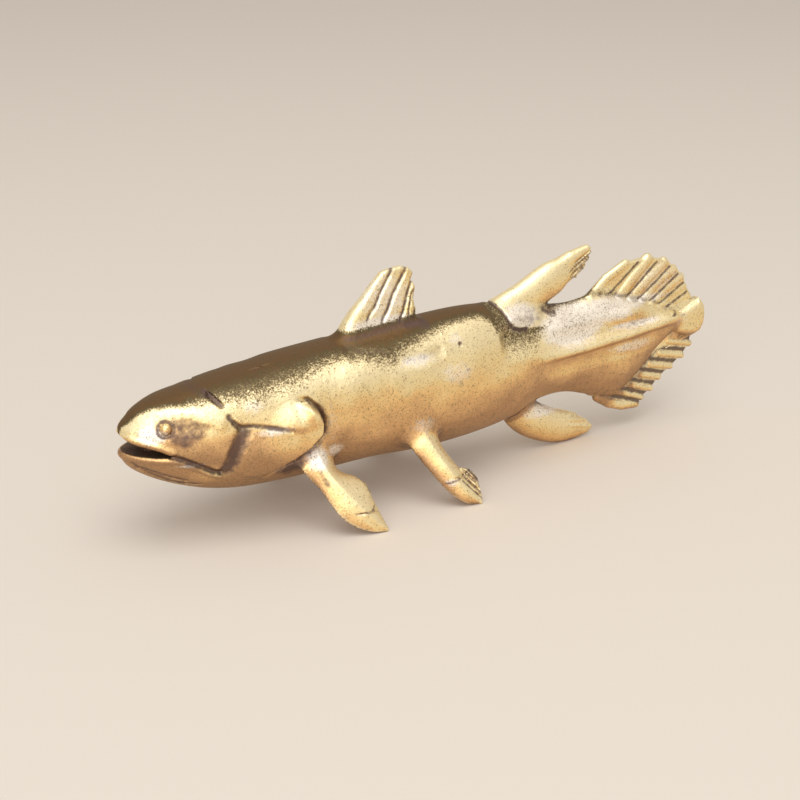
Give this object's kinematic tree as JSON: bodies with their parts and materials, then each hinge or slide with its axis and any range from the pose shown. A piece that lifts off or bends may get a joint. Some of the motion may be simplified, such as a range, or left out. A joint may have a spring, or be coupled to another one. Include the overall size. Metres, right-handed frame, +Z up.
{
  "type": "fish figurine",
  "caption": "Solid cast brass figurine of a lobe-finned fish that stands on its paired fins and anal fin, with ribbed tail fans.",
  "frame": {"origin": "on the table plane, midway along the fish and across it", "axes": "-X towards the snout, +X towards the tail tip, +Z up, -Y the fish's left side"},
  "size_m": [0.0701, 0.02, 0.0236],
  "materials": {
    "body": "cast brass, dark patina in the hollows, worn bright on the ridges",
    "lower_jaw": "cast brass, dark patina in the hollows, worn bright on the ridges",
    "first_dorsal_fin": "cast brass, dark patina in the hollows, worn bright on the ridges",
    "second_dorsal_fin": "cast brass, dark patina in the hollows, worn bright on the ridges",
    "anal_fin": "cast brass, dark patina in the hollows, worn bright on the ridges",
    "tail_fins": "cast brass, dark patina in the hollows, worn bright on the ridges",
    "tail_tip": "cast brass, dark patina in the hollows, worn bright on the ridges",
    "gill_covers": "cast brass, dark patina in the hollows, worn bright on the ridges",
    "eyes": "cast brass, dark patina in the hollows, worn bright on the ridges",
    "pectoral_fins": "cast brass, dark patina in the hollows, worn bright on the ridges",
    "pelvic_fins": "cast brass, dark patina in the hollows, worn bright on the ridges"
  },
  "bodies": {
    "root": {"body": "body", "lower_jaw": "lower_jaw", "first_dorsal_fin": "first_dorsal_fin", "second_dorsal_fin": "second_dorsal_fin", "anal_fin": "anal_fin", "tail_fin_upper": "tail_fins", "tail_fin_lower": "tail_fins", "tail_tip": "tail_tip", "gill_cover_left": "gill_covers", "gill_cover_right": "gill_covers", "eye_left": "eyes", "eye_right": "eyes", "pectoral_fin_left": "pectoral_fins", "pectoral_fin_right": "pectoral_fins", "pelvic_fin_left": "pelvic_fins", "pelvic_fin_right": "pelvic_fins"}
  },
  "joints": []
}
